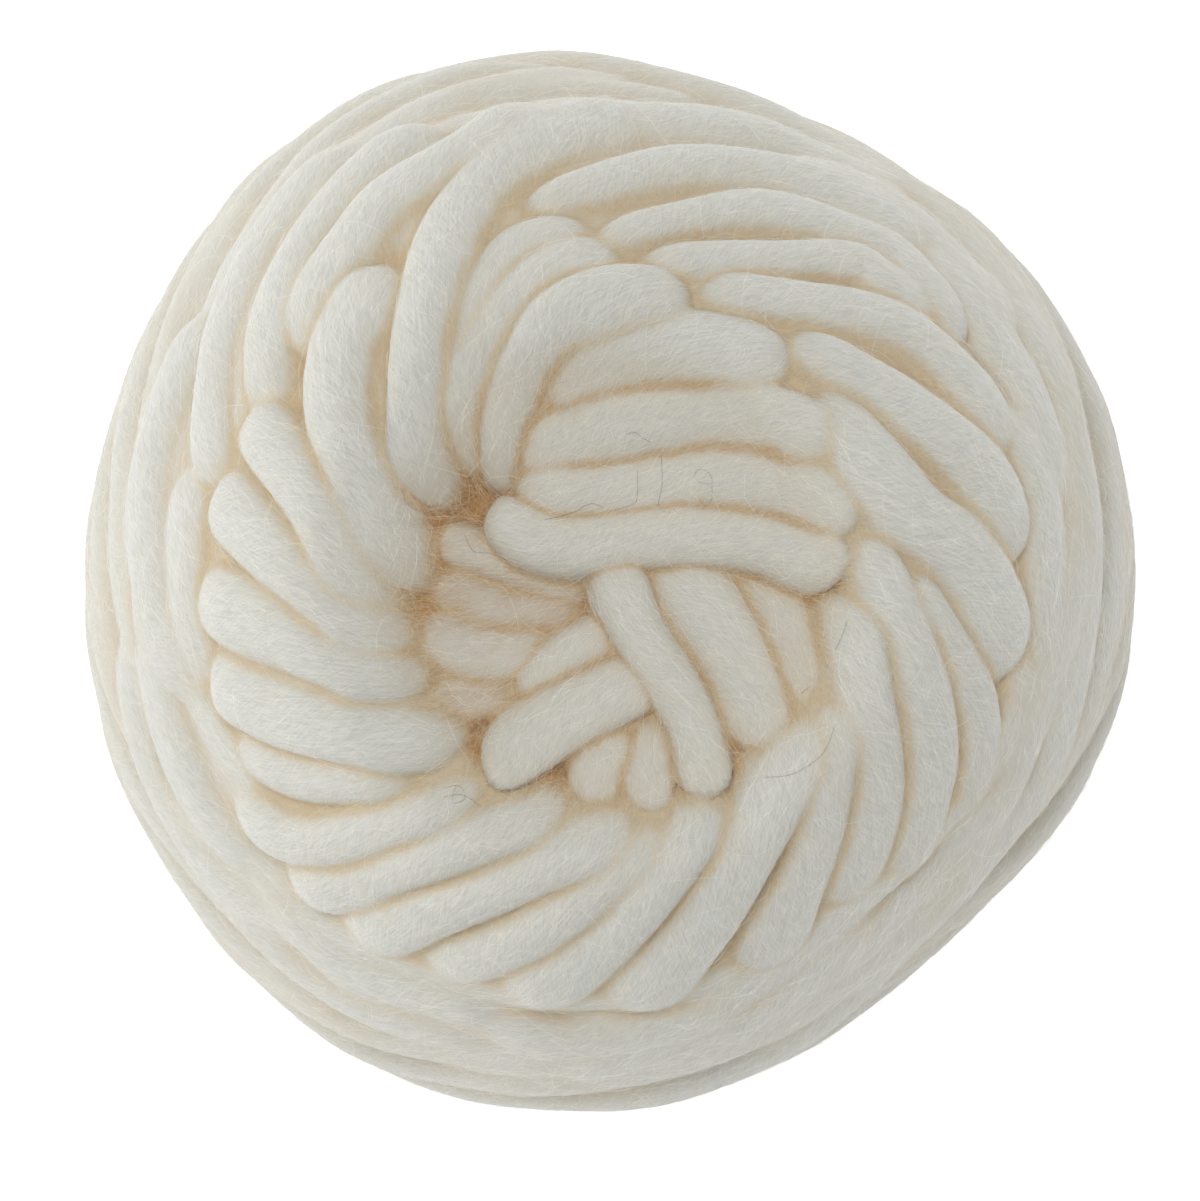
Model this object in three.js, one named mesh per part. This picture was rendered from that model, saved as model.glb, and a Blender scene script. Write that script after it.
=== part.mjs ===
// Ball of thick, soft single-ply wool yarn, wound with two open ends and stood on one of them.
// One solid: the wound body, with each turn that shows raised on it as a rounded ridge.
// Millimetres, +Z up, X and Y as they lie when the upper end is seen from above.
// The origin is on the flat foot, under the middle of the ball.

import * as THREE from 'three';
import { ConvexHull } from 'three/addons/math/ConvexHull.js';

const { clamp, degToRad, lerp, smoothstep } = THREE.MathUtils;

// Driving dimensions
const HEART_HEIGHT = 47; // the middle of the ball above the surface that it stands on
const RIDGE_RATIO = 0.46; // how far a turn's crest stands above its edges, over its width
const FULLNESS = 1.06; // of a turn's section, over its own room
const SLIT_DEPTH = 3; // floor between the turns of the upper end's ring, below the crests
const GAP_DEPTH = 7; // the same inside the ring and on the sides, where turns lie over each other
const RING_INSIDE = { open: 24, closed: 30 }; // distance from the ball's upright axis
const RING_OUTSIDE = { open: degToRad(20), closed: degToRad(32) }; // latitude
const YARN_WIDTH = 8.2; // a turn on the sides and the underside
const FOOT_RADIUS = 20; // flat spot that the ball stands on

// Ends of turns: how deep they dive, over what run, and how much of it is past the last place given
const DEEP_TUCK = { depth: 7, run: 8, past: 3.4 }; // between the turns beside it
const MIDDLE_TUCK = { depth: 6, run: 6.5, past: 2.8 }; // among the crossing turns
const NOSE_TUCK = { depth: 4.5, run: 9, past: 2 }; // over the shoulder of the ball
const NO_TUCK = { depth: 0, run: 1, past: 0 };
const NOSE_TAPER = 1; // run over which an end narrows to its tip, over the turn's width
const TIP_SHARE = 0.14; // of its width, kept at the tip

// Shares of its width that a turn has at its start and end, before the tips
const WHOLE_WIDTH = [1, 1];
const INWARD_WIDTH = [1.12, 0.62]; // where turns crowd together towards the middle

// Turns round the sides: loops that lean one after another, each over the one before
const BELT_COUNT = 24;
const BELT_TILTS = [35, 28.5, 22]; // degrees from level, taken in turn
const BELT_LIFT_FIRST = -5;
const BELT_LIFT_LAST = -0.4;

// Turns of the underside, spiralling from the sides to the foot
const UNDER_COUNT = 19;
const UNDER_TOP_LATITUDE = -29;
const UNDER_END_LATITUDE = -72;
const UNDER_SWEEP = 90; // degrees of turn from the sides to the foot
const UNDER_LIFT = 0.5; // most that one turn is raised or sunk against the others
const UNDER_LIFT_STEP = 3.1; // radians from one turn's lift to the next

// Spacing of places along a turn
const ROUTE_STEP = 2; // mm, on the upper end
const BELT_PLACES = 121;
const UNDER_PLACES = 25;
const TURN_MARGIN = 0.12; // radians from a turn's middle to beyond its edges

// Spacing of the surface points
const STEP_ALONG = 3.2; // between rows of points across one turn
const STEP_ACROSS = 0.4; // between trials on the way from a crest to its valley
const SHOULDER_SHARE = 0.5; // of the way from crest to valley
const ROW_SPACING = 1.6; // least distance between points of the rows
const FILL_COUNT = 4200;
const FILL_SPACING = 3.4;
const SIEVE_CELL = 0.06; // radians, of the cells that points are sorted into
const FIT_PASSES = 4; // rounds of turning edges to follow the ridges
const FIT_GAIN = 0.08; // least gain in fit that turns an edge
const LEAST_FACING = 0.8; // of a triangle towards the outside, to rule out slivers

// Outside of the wound body from the upper end's middle to the foot, over the crests.
// out is the distance from the ball's upright axis, and up is the height.
const PROFILE = [
  { out: 0, up: 89.4 },
  { out: 14, up: 90.4 },
  { out: 22, up: 92.2 },
  { out: 28, up: 94.4 },
  { out: 34, up: 94.6 },
  { out: 40, up: 91 },
  { out: 46.5, up: 84 },
  { out: 52.4, up: 75 },
  { out: 58.2, up: 62.5 },
  { out: 61.5, up: 47 },
  { out: 59.8, up: 33 },
  { out: 54, up: 19.5 },
  { out: 46, up: 9.5 },
  { out: 37, up: 3.2 },
  { out: 27, up: -0.6 },
  { out: 15, up: -3.6 },
  { out: 0, up: -5 },
];

// Where the ball is out of round, seen from above: rise in mm, azimuth and spread in degrees
const SWELLS = [
  { azimuth: 68, spread: 29, rise: -3.4 },
  { azimuth: 118, spread: 27, rise: 3.5 },
  { azimuth: 240, spread: 14, rise: 0.7 },
  { azimuth: 313, spread: 20, rise: -3.1 },
];

// Turns that show on the upper end, as seen from above. route lists x, y places along the middle
// of a turn, width is the turn's own, and lift raises or sinks it against the wound body.

// Crossing turns that fill the middle of the upper end
const MIDDLE_TURNS = [
  { lift: 0, width: 8.8, route: [[-7.6, 19], [-2, 24], [7.5, 26.5], [19.8, 25.3]] },
  { lift: 0.5, width: 6.7, route: [[-10, 14], [-3, 16.9], [10, 18.7], [19.6, 18], [24.4, 14.4]] },
  { lift: 0.4, width: 7, route: [[-9.6, 10.4], [0, 10.4], [12, 11.7], [21, 10.3], [26.8, 4.6]] },
  { lift: 0.8, width: 6.5, route: [[-13, 7.4], [-6, 4.3], [8, 5.4], [19, 4], [25.4, 1]] },
  { lift: -3.4, width: 5.6, route: [[-21.4, 5], [-16.8, 3.9], [-9.6, 1.3], [-3.2, -0.7]] },
  { lift: -4, width: 6.2, route: [[-23.2, -0.1], [-19.4, -1.3], [-13, -3.5], [-4.2, -3.8]] },
  { lift: -3, width: 6.8, route: [[-24.4, -5.6], [-21.2, -7.2], [-15, -9.1], [-8.4, -9]] },
  { lift: -3.8, width: 5.4, route: [[-23.8, -12.2], [-21.4, -13.2], [-17.2, -14.4], [-11.4, -13.4]] },
  { lift: -1.8, width: 5.8, route: [[-10, -14.2], [-5.8, -9.5], [1.3, -5.7]] },
  { lift: 0.6, width: 7.4, route: [[-13.5, -21.2], [-5.4, -15.8], [4.6, -11]] },
  { lift: 1.4, width: 7.2, route: [[0.9, 0.5], [3.2, -5.8], [8.8, -15], [10.9, -23.4]] },
  { lift: -0.6, width: 8.6, route: [[7.6, 2.5], [12.2, -5], [16.2, -13.3], [16.3, -18.8]] },
  { lift: -2.2, width: 6.2, route: [[16, 2], [20.3, -4], [21.7, -9.5], [19.2, -17.4]] },
  { lift: -0.8, width: 5.8, route: [[1.4, -16.5], [-1, -20.8], [-2.8, -25.4]] },
  { lift: -0.8, width: 5.8, route: [[5.6, -17.2], [4.4, -21.5], [3.8, -26.2]] },
];

// Long bowed turns beside the middle, on the upper left, each towards the middle
const BOWED_TURNS = [
  { lift: 1, width: 6.4, route: [[7.4, 33], [0, 32.4], [-7, 28.8], [-11.4, 20], [-13, 13.6]] },
  { lift: -1.2, width: 6, route: [[-3, 41], [-10.6, 39.6], [-15.6, 33], [-17, 22]] },
  { lift: -0.7, width: 6.8, route: [[0.5, 37.8], [-7, 36.4], [-12.2, 31.4], [-16, 24], [-17.4, 15.4]] },
  { lift: 0.2, width: 8.4, route: [[0, 55], [-9.6, 51.2], [-17.6, 43], [-22.6, 28], [-22.8, 11.8]] },
  { lift: 0.6, width: 8.4, route: [[-28.6, 35], [-31.9, 27], [-31.2, 18.6], [-28, 10.4], [-24.8, 0.6]] },
];

// Ring of slanting turns round the middle, from the left by way of the front to the right,
// each from the rim inwards
const RING_TURNS = [
  { lift: 0.2, width: 8.8, route: [[-41.2, 18.4], [-37.2, 13.2], [-33.2, 7.6], [-30, 2.2], [-27.4, -3]] },
  { lift: 0.2, width: 8.6, route: [[-45.4, 9.8], [-40.6, 4.8], [-35, -0.4], [-30.4, -4.2], [-26.4, -7.8]] },
  { lift: 0.1, width: 8.8, route: [[-47, -2], [-40, -5.6], [-32.5, -9.4], [-24.4, -12.4]] },
  { lift: 0.4, width: 9, route: [[-45.6, -12], [-39.5, -14.8], [-32, -17.2], [-20.6, -19.8]] },
  { lift: -1, width: 7, route: [[-43.4, -19.6], [-36, -23], [-23.5, -24]] },
  { lift: 0, width: 7.4, route: [[-43, -27], [-37, -30], [-30, -29.8], [-17, -25.8]] },
  { lift: 0.2, width: 6.8, route: [[-35.8, -35.6], [-29, -35.2], [-23.5, -33], [-6.6, -27]] },
  { lift: 0.2, width: 7.6, route: [[-28.8, -41], [-20, -38.2], [-12.5, -35.3], [1.6, -29]] },
  { lift: 0.1, width: 6.8, route: [[-19.6, -45], [-12, -42.3], [-5.5, -38.6], [6, -30]] },
  { lift: 0.2, width: 8.2, route: [[-10.8, -48.2], [-3, -44], [2, -39.2], [11.8, -27]] },
  { lift: 0.2, width: 8.2, route: [[2, -49], [9, -42.6], [14, -35.2], [24, -17]] },
  { lift: 0, width: 7, route: [[17.6, -44.6], [21, -38], [24.2, -30], [26.8, -15]] },
  { lift: 0.1, width: 7.2, route: [[27.4, -37], [31, -25], [29.4, -11], [27.8, -3.4]] },
  { lift: 0.2, width: 7.4, route: [[33.6, -34], [37.4, -21], [34.8, -7], [29.8, 4]] },
  { lift: -0.3, width: 6, route: [[41.2, -27], [43, -17], [40.4, -8.6], [35, 0.4]] },
  { lift: 0.3, width: 11.4, route: [[47, -8.6], [42, 2], [35.2, 8.2], [29, 14.8], [24.6, 20.8]] },
  { lift: 0.2, width: 8.6, route: [[47.6, 4], [43.2, 12.6], [33.6, 21], [22.3, 27.6]] },
  { lift: 0.1, width: 7, route: [[46, 15.6], [41.6, 23], [31.5, 30.6], [11.5, 34]] },
  { lift: 0, width: 5.8, route: [[38, 30.5], [32, 34.6], [26, 37.6], [4.4, 36.9]] },
  { lift: 0.1, width: 6.2, route: [[41, 29], [36, 35], [30.5, 39.8], [17, 43.4], [0, 40.2]] },
  { lift: 0.1, width: 7.6, route: [[37, 39.5], [25, 46.2], [10, 48.8], [-8.4, 44.2]] },
];

// Turns that lie along the rim, outside the ring
const RIM_TURNS = [
  { lift: -1.2, width: 7.8, route: [[-47.5, -13], [-50, -4], [-50.2, 6], [-49, 14]] },
  { lift: -1.2, width: 7.4, route: [[-45.6, 12], [-44.6, 23], [-41.3, 35], [-34, 45]] },
  { lift: 0, width: 7, route: [[-41.8, 19.5], [-40.6, 31], [-36.5, 41], [-29.5, 49], [-19, 55.5]] },
  { lift: -1.4, width: 8, route: [[-27, 38], [-22.6, 45.4], [-15, 51.6], [-5, 56]] },
  { lift: 0.1, width: 7.6, route: [[-37.2, 22.5], [-34.4, 32], [-29.4, 41.5], [-25, 48.5], [-16, 54.8]] },
  { lift: -0.2, width: 7.6, route: [[-48.6, 9], [-48.2, 21], [-44.6, 34], [-37.5, 44.5], [-27, 52.5]] },
  { lift: -0.4, width: 8, route: [[-49, -13], [-53, -5], [-54.6, 6], [-53, 18], [-48.5, 31]] },
  { lift: -0.5, width: 7.8, route: [[-54, 2], [-52.8, -13], [-48.5, -25], [-41.5, -34.5]] },
  { lift: -0.6, width: 7.6, route: [[-57, -6], [-54, -22], [-46.5, -34], [-36, -42.5]] },
  { lift: -0.5, width: 7.6, route: [[-41, -35.5], [-35, -41.6], [-28, -46.4], [-12, -51]] },
  { lift: -0.6, width: 7.6, route: [[-45, -36.5], [-37, -45], [-27, -50.5], [-12, -54]] },
  { lift: -0.4, width: 7.6, route: [[-16, -51], [-4, -53.4], [8, -51.5], [17, -48]] },
  { lift: -0.4, width: 7.6, route: [[31, -39.5], [15, -51.5], [-6, -57]] },
  { lift: -0.6, width: 7.6, route: [[44, -26], [33, -42], [16, -54]] },
  { lift: -0.5, width: 7.4, route: [[49, -8], [48, -17], [45, -26], [35, -42]] },
  { lift: -0.5, width: 7.2, route: [[46, 21], [50.6, 8], [50.4, -12]] },
  { lift: -0.4, width: 7.4, route: [[37, 39.5], [47.5, 25], [53, 8]] },
  { lift: -0.4, width: 7.4, route: [[20, 49.5], [35, 42.8], [48, 28.5]] },
  { lift: -0.4, width: 7.4, route: [[-2, 54.5], [17, 53], [36, 44.5]] },
];

const WOOL_COLOUR = 0xd9d6cb;

// The profile as closely spaced places, each with its latitude and its distance from the heart
const PROFILE_STEPS = 240;
const PROFILE_PLACES = new THREE.SplineCurve(
  PROFILE.map(({ out, up }) => new THREE.Vector2(out, up - HEART_HEIGHT)),
)
  .getPoints(PROFILE_STEPS)
  .map((place) => ({ latitude: Math.atan2(place.y, place.x), radius: place.length() }));

// Unit vector from the heart towards a latitude and an azimuth, in radians
function directionAt(latitude, azimuth) {
  const level = Math.cos(latitude);
  return new THREE.Vector3(level * Math.cos(azimuth), level * Math.sin(azimuth), Math.sin(latitude));
}

// How far the ball swells or sinks at an azimuth, in mm
function swellAt(azimuth) {
  return SWELLS.reduce((total, swell) => {
    const apart = azimuth - degToRad(swell.azimuth);
    const turned = Math.atan2(Math.sin(apart), Math.cos(apart)) / degToRad(swell.spread);
    return total + swell.rise * Math.exp(-turned * turned);
  }, 0);
}

// Distance from the heart to the crests in a direction
function crestRadius(direction) {
  const latitude = Math.asin(direction.z);
  const found = PROFILE_PLACES.findIndex((place) => place.latitude <= latitude);
  const below = found < 1 ? 1 : found;
  const upper = PROFILE_PLACES[below - 1];
  const lower = PROFILE_PLACES[below];
  const share = (upper.latitude - latitude) / (upper.latitude - lower.latitude);
  const swell = swellAt(Math.atan2(direction.y, direction.x)) * Math.cos(latitude) ** 2;
  return lerp(upper.radius, lower.radius, share) + swell;
}

// Direction in which the upper end is seen at a place x, y from above, found by halving
const HALVINGS = 40;
function directionOver(x, y) {
  const azimuth = Math.atan2(y, x);
  const wanted = Math.hypot(x, y);
  let low = 0;
  let high = Math.PI / 2;
  for (let halving = 0; halving < HALVINGS; halving += 1) {
    const latitude = (low + high) / 2;
    const out = crestRadius(directionAt(latitude, azimuth)) * Math.cos(latitude);
    if (out > wanted) low = latitude;
    else high = latitude;
  }
  return directionAt((low + high) / 2, azimuth);
}

// A turn: its directions, its lift and half width at each, and a cap that holds all of it
function makeTurn(directions, lift, width) {
  const middle = directions.reduce((sum, one) => sum.add(one), new THREE.Vector3()).normalize();
  const reach = Math.max(...directions.map((one) => one.angleTo(middle)));
  const lengths = [0];
  directions.slice(1).forEach((one, k) => {
    lengths.push(lengths[k] + one.angleTo(directions[k]) * crestRadius(one));
  });
  const lifts = directions.map(() => lift);
  const halves = directions.map(() => (FULLNESS * width) / 2);
  return { directions, lifts, halves, width, middle, reach: reach + TURN_MARGIN, length: lengths.at(-1) };
}

// A turn with two ends, which dive and narrow like noses under what lies beside them
function tuckedTurn(directions, lift, width, startTuck, endTuck, shares = WHOLE_WIDTH) {
  const turn = makeTurn(directions, lift, width);
  const spacing = turn.length / (directions.length - 1);
  const nose = (share) => Math.sqrt(1 - (1 - clamp(share, 0, 1)) ** 2);
  directions.forEach((_, k) => {
    const fromStart = k * spacing;
    turn.halves[k] *= lerp(...shares, fromStart / turn.length);
    const ends = [[startTuck, fromStart], [endTuck, turn.length - fromStart]];
    for (const [tuck, run] of ends.filter(([{ depth }]) => depth > 0)) {
      turn.lifts[k] -= tuck.depth * (1 - nose(run / tuck.run));
      turn.halves[k] *= lerp(TIP_SHARE, 1, nose(run / (NOSE_TAPER * width)));
    }
  });
  return turn;
}

// Places x, y along a route with a straight run added at each end
function lengthen(route, before, after) {
  const places = route.map(([x, y]) => new THREE.Vector3(x, y, 0));
  const beyond = (end, inner, run) =>
    end.clone().add(new THREE.Vector3().subVectors(end, inner).setLength(run));
  const first = beyond(places[0], places[1], before);
  const last = beyond(places.at(-1), places.at(-2), after);
  return [first, ...places, last];
}

// Turns of the upper end, from the rows of one table
function upperTurns(rows, startTuck, endTuck, shares) {
  return rows.map(({ route, width, lift }) => {
    const curve = new THREE.CatmullRomCurve3(lengthen(route, startTuck.past, endTuck.past));
    const pieces = Math.ceil(curve.getLength() / ROUTE_STEP);
    const directions = curve.getSpacedPoints(pieces).map(({ x, y }) => directionOver(x, y));
    return tuckedTurn(directions, lift, width, startTuck, endTuck, shares);
  });
}

// A loop round the sides, leaning towards its own azimuth
function beltTurn(_, number) {
  const azimuth = (2 * Math.PI * number) / BELT_COUNT;
  const tilt = degToRad(BELT_TILTS[number % BELT_TILTS.length]);
  const lift = lerp(BELT_LIFT_FIRST, BELT_LIFT_LAST, number / (BELT_COUNT - 1));
  const directions = Array.from({ length: BELT_PLACES }, (__, k) => {
    const round = (2 * Math.PI * k) / (BELT_PLACES - 1);
    return directionAt(Math.atan(Math.tan(tilt) * Math.cos(round)), azimuth + round);
  });
  return makeTurn(directions, lift, YARN_WIDTH);
}

// A turn of the underside, spiralling towards the foot
function underTurn(_, number) {
  const start = (2 * Math.PI * number) / UNDER_COUNT;
  const directions = Array.from({ length: UNDER_PLACES }, (__, k) => {
    const share = k / (UNDER_PLACES - 1);
    const latitude = degToRad(lerp(UNDER_TOP_LATITUDE, UNDER_END_LATITUDE, share));
    return directionAt(latitude, start - degToRad(UNDER_SWEEP) * share);
  });
  const lift = UNDER_LIFT * Math.sin(UNDER_LIFT_STEP * number);
  return tuckedTurn(directions, lift, YARN_WIDTH, NOSE_TUCK, NO_TUCK);
}

const TURNS = [
  ...Array.from({ length: BELT_COUNT }, beltTurn),
  ...Array.from({ length: UNDER_COUNT }, underTurn),
  ...upperTurns(RIM_TURNS, NOSE_TUCK, NOSE_TUCK),
  ...upperTurns(RING_TURNS, NOSE_TUCK, DEEP_TUCK, INWARD_WIDTH),
  ...upperTurns(BOWED_TURNS, DEEP_TUCK, DEEP_TUCK, INWARD_WIDTH),
  ...upperTurns(MIDDLE_TURNS, MIDDLE_TUCK, MIDDLE_TUCK),
];

// Height of one turn over a direction, against the crests, or nothing where it doesn't reach
function turnHeight(turn, direction, radius) {
  if (direction.angleTo(turn.middle) > turn.reach) return -Infinity;
  const { directions, lifts, halves, width } = turn;
  const nearest = new THREE.Vector3();
  const along = new THREE.Vector3();
  let height = -Infinity;
  for (let k = 1; k < directions.length; k += 1) {
    const start = directions[k - 1];
    along.subVectors(directions[k], start);
    const share = nearest.subVectors(direction, start).dot(along) / along.lengthSq();
    const held = clamp(share, 0, 1);
    const half = lerp(halves[k - 1], halves[k], held);
    nearest.copy(start).addScaledVector(along, held);
    const aside = (nearest.distanceTo(direction) * radius) / half;
    if (aside < 1) {
      const ridge = RIDGE_RATIO * width * (Math.sqrt(1 - aside * aside) - 1);
      height = Math.max(height, lerp(lifts[k - 1], lifts[k], held) + ridge);
    }
  }
  return height;
}

// Floor of the gaps between turns in a direction, below the crests
function floorDepth(direction, radius) {
  const out = Math.hypot(direction.x, direction.y) * radius;
  const latitude = Math.asin(direction.z);
  const beyondInside = smoothstep(out, RING_INSIDE.open, RING_INSIDE.closed);
  const aboveSides = smoothstep(latitude, RING_OUTSIDE.open, RING_OUTSIDE.closed);
  return lerp(GAP_DEPTH, SLIT_DEPTH, Math.min(beyondInside, aboveSides));
}

// The topmost turn over a direction, and its height against the crests
function topTurn(direction) {
  const radius = crestRadius(direction);
  let top = { turn: null, height: -floorDepth(direction, radius) };
  for (const turn of TURNS) {
    const height = turnHeight(turn, direction, radius);
    if (height > top.height) top = { turn, height };
  }
  return top;
}

// The point of the outside in a direction: on the topmost turn, never under the foot, and level on it
function outsidePoint(direction) {
  const radius = crestRadius(direction) + topTurn(direction).height;
  const toFoot = direction.z < 0 ? HEART_HEIGHT / -direction.z : Infinity;
  const onFoot = toFoot * Math.hypot(direction.x, direction.y) < FOOT_RADIUS;
  return direction.clone().multiplyScalar(onFoot ? toFoot : Math.min(radius, toFoot));
}

// Keeps directions that are far enough from those kept before
function makeSieve() {
  const cells = new Map();
  const kept = [];
  const cellOf = (value) => Math.floor(value / SIEVE_CELL);
  function offer(direction, spacing) {
    const gap = spacing / crestRadius(direction);
    const [x, y, z] = direction.toArray().map(cellOf);
    for (let dx = -1; dx <= 1; dx += 1) {
      for (let dy = -1; dy <= 1; dy += 1) {
        for (let dz = -1; dz <= 1; dz += 1) {
          const near = cells.get(`${x + dx},${y + dy},${z + dz}`) ?? [];
          if (near.some((other) => other.distanceTo(direction) < gap)) return;
        }
      }
    }
    const cell = `${x},${y},${z}`;
    if (!cells.has(cell)) cells.set(cell, []);
    cells.get(cell).push(direction);
    kept.push(direction);
  }
  return { kept, offer };
}

// Offers the shoulders of a turn and the valleys beside it, where the turn shows
function offerTurn(turn, sieve) {
  const { directions, length, width } = turn;
  const spacing = length / (directions.length - 1);
  const stride = Math.max(1, Math.round(STEP_ALONG / spacing));
  for (let k = 1; k < directions.length - 1; k += stride) {
    const crest = directions[k];
    if (topTurn(crest).turn === turn) {
      const heading = new THREE.Vector3().subVectors(directions[k + 1], directions[k - 1]);
      const aside = new THREE.Vector3().crossVectors(crest, heading).normalize();
      for (const side of [-1, 1]) {
        const radius = crestRadius(crest);
        const directionAside = (step) =>
          crest.clone().addScaledVector(aside, (side * step) / radius).normalize();
        let step = STEP_ACROSS;
        while (step < width && topTurn(directionAside(step)).turn === turn) step += STEP_ACROSS;
        sieve.offer(directionAside(step * SHOULDER_SHARE), ROW_SPACING);
        sieve.offer(directionAside(step), ROW_SPACING);
      }
    }
  }
}

// Directions of the surface points: the turns that show first, then an even fill
function surfaceDirections() {
  const sieve = makeSieve();
  [...TURNS].reverse().forEach((turn) => offerTurn(turn, sieve));
  const goldenAngle = Math.PI * (3 - Math.sqrt(5));
  for (let k = 0; k < FILL_COUNT; k += 1) {
    const latitude = Math.asin(1 - (2 * k + 1) / FILL_COUNT);
    sieve.offer(directionAt(latitude, k * goldenAngle), FILL_SPACING);
  }
  return sieve.kept;
}

// Turns the edge between two triangles where the other diagonal lies closer to the outside
function fitEdges(triangles, directions, points) {
  const owners = new Map();
  const misses = new Map();
  const edgeKey = (from, to) => from * points.length + to;
  const isEdge = (from, to) => owners.has(edgeKey(from, to)) || owners.has(edgeKey(to, from));

  function claimEdges(number) {
    const [a, b, c] = triangles[number];
    owners.set(edgeKey(a, b), number);
    owners.set(edgeKey(b, c), number);
    owners.set(edgeKey(c, a), number);
  }

  function missOf(from, to) {
    const pair = edgeKey(Math.min(from, to), Math.max(from, to));
    if (!misses.has(pair)) {
      const middle = points[from].clone().lerp(points[to], 0.5);
      misses.set(pair, outsidePoint(middle.clone().normalize()).distanceTo(middle));
    }
    return misses.get(pair);
  }

  function facesOut(...corners) {
    const [a, b, c] = corners.map((corner) => directions[corner]);
    return THREE.Triangle.getNormal(a, b, c, new THREE.Vector3()).dot(a) > LEAST_FACING;
  }

  function tryEdge(number, corner) {
    const [a, b, c] = [0, 1, 2].map((next) => triangles[number][(corner + next) % 3]);
    const beyond = owners.get(edgeKey(b, a));
    const d = triangles[beyond].find((one) => one !== a && one !== b);
    if (missOf(c, d) > missOf(a, b) - FIT_GAIN) return;
    if (isEdge(c, d) || !facesOut(a, d, c) || !facesOut(d, b, c)) return;
    owners.delete(edgeKey(a, b));
    owners.delete(edgeKey(b, a));
    triangles[number] = [a, d, c];
    triangles[beyond] = [d, b, c];
    claimEdges(number);
    claimEdges(beyond);
  }

  triangles.forEach((_, number) => claimEdges(number));
  for (let pass = 0; pass < FIT_PASSES; pass += 1) {
    for (let number = 0; number < triangles.length; number += 1) {
      [0, 1, 2].forEach((corner) => tryEdge(number, corner));
    }
  }
}

// Closed surface through the outside points, joined as the hull of their directions
function ballGeometry() {
  const directions = surfaceDirections();
  const numbers = new Map(directions.map((direction, number) => [direction, number]));
  const hull = new ConvexHull().setFromPoints(directions);
  const triangles = hull.faces.map(({ edge }) =>
    [edge, edge.next, edge.next.next].map((side) => numbers.get(side.head().point)),
  );
  const points = directions.map(outsidePoint);
  fitEdges(triangles, directions, points);
  const geometry = new THREE.BufferGeometry().setFromPoints(points);
  geometry.setIndex(triangles.flat());
  geometry.translate(0, 0, HEART_HEIGHT);
  geometry.computeBoundingBox();
  const middle = geometry.boundingBox.getCenter(new THREE.Vector3());
  geometry.translate(-middle.x, -middle.y, 0);
  geometry.computeVertexNormals();
  return geometry;
}

const wool = new THREE.MeshStandardMaterial({ name: 'wool', color: WOOL_COLOUR, roughness: 0.95 });
const yarnBall = new THREE.Mesh(ballGeometry(), wool);
yarnBall.name = 'yarn_ball';

const part = new THREE.Group();
part.name = 'ball_of_yarn';
part.add(yarnBall);

export default part;
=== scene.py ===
"""Looks for a ball of thick, soft wool yarn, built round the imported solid.

Sizes are in millimetres from the heart of the ball until a mesh is made, and in metres from there
on. The turns of yarn are laid round the heart in the same way as the solid's ridges, on a finer
surface, and loose fibres are then grown on that surface.
"""

import math
from dataclasses import dataclass

import bmesh
import bpy
import numpy as np
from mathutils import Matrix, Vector
from mathutils.bvhtree import BVHTree


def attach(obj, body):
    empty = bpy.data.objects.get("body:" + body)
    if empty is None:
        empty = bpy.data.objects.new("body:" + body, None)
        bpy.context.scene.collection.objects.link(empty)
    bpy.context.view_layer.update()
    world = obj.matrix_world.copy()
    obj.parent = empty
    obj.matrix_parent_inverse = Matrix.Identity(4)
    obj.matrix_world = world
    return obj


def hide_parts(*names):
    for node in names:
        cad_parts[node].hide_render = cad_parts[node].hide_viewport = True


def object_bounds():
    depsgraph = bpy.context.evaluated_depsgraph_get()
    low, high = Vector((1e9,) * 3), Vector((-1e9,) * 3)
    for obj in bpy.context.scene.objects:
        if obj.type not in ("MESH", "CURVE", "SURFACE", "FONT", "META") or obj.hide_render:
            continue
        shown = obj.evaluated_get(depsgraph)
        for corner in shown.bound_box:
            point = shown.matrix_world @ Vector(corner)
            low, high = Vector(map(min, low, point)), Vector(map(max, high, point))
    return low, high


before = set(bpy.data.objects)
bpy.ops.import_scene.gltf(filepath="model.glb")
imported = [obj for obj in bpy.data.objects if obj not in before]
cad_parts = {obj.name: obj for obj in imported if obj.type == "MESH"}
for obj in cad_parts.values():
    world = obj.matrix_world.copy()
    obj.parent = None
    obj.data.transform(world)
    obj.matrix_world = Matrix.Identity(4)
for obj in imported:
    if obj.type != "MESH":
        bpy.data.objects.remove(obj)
cad_low, cad_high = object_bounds()

MM = 0.001
TINY = 1e-12
RANDOM = np.random.default_rng(71)

# Wound body: height of its heart over the foot, and the outside from the upper end's middle to the
# foot as distance out, height
HEART_HEIGHT = 47.0
FOOT_RADIUS = 20.0
PROFILE_STEPS = 15
PROFILE = (
    (0, 89.4), (14, 90.4), (22, 92.2), (28, 94.4), (34, 94.6), (40, 91), (46.5, 84), (52.4, 75),
    (58.2, 62.5), (61.5, 47), (59.8, 33), (54, 19.5), (46, 9.5), (37, 3.2), (27, -0.6), (15, -3.6),
    (0, -5),
)

# Where the body is out of round: azimuth and spread in degrees, swell
SWELLS = ((68, 29, -3.4), (118, 27, 3.5), (240, 14, 0.7), (313, 20, -3.1))

# Turns of yarn: width, how much wider they are laid so that they fill the ball, and how high their
# crests stand over their edges against that width
YARN_WIDTH = 8.2
FULLNESS = 1.16
RIDGE_RATIO = 0.42
RIM_RIDGE_RATIO = 0.34

# Places along a turn: the run from one to the next, the fewest steps, the steps between places
# given, and how often a range of latitudes is halved to find one
TURN_STEP = 1.5
LEAST_STEPS = 8
ROUTE_STEPS = 24
HALVINGS = 40

# Shares of the width that a turn has at its first and last places
WHOLE_WIDTH = (1.0, 1.0)
INWARD_WIDTH = (1.12, 0.62)

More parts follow.
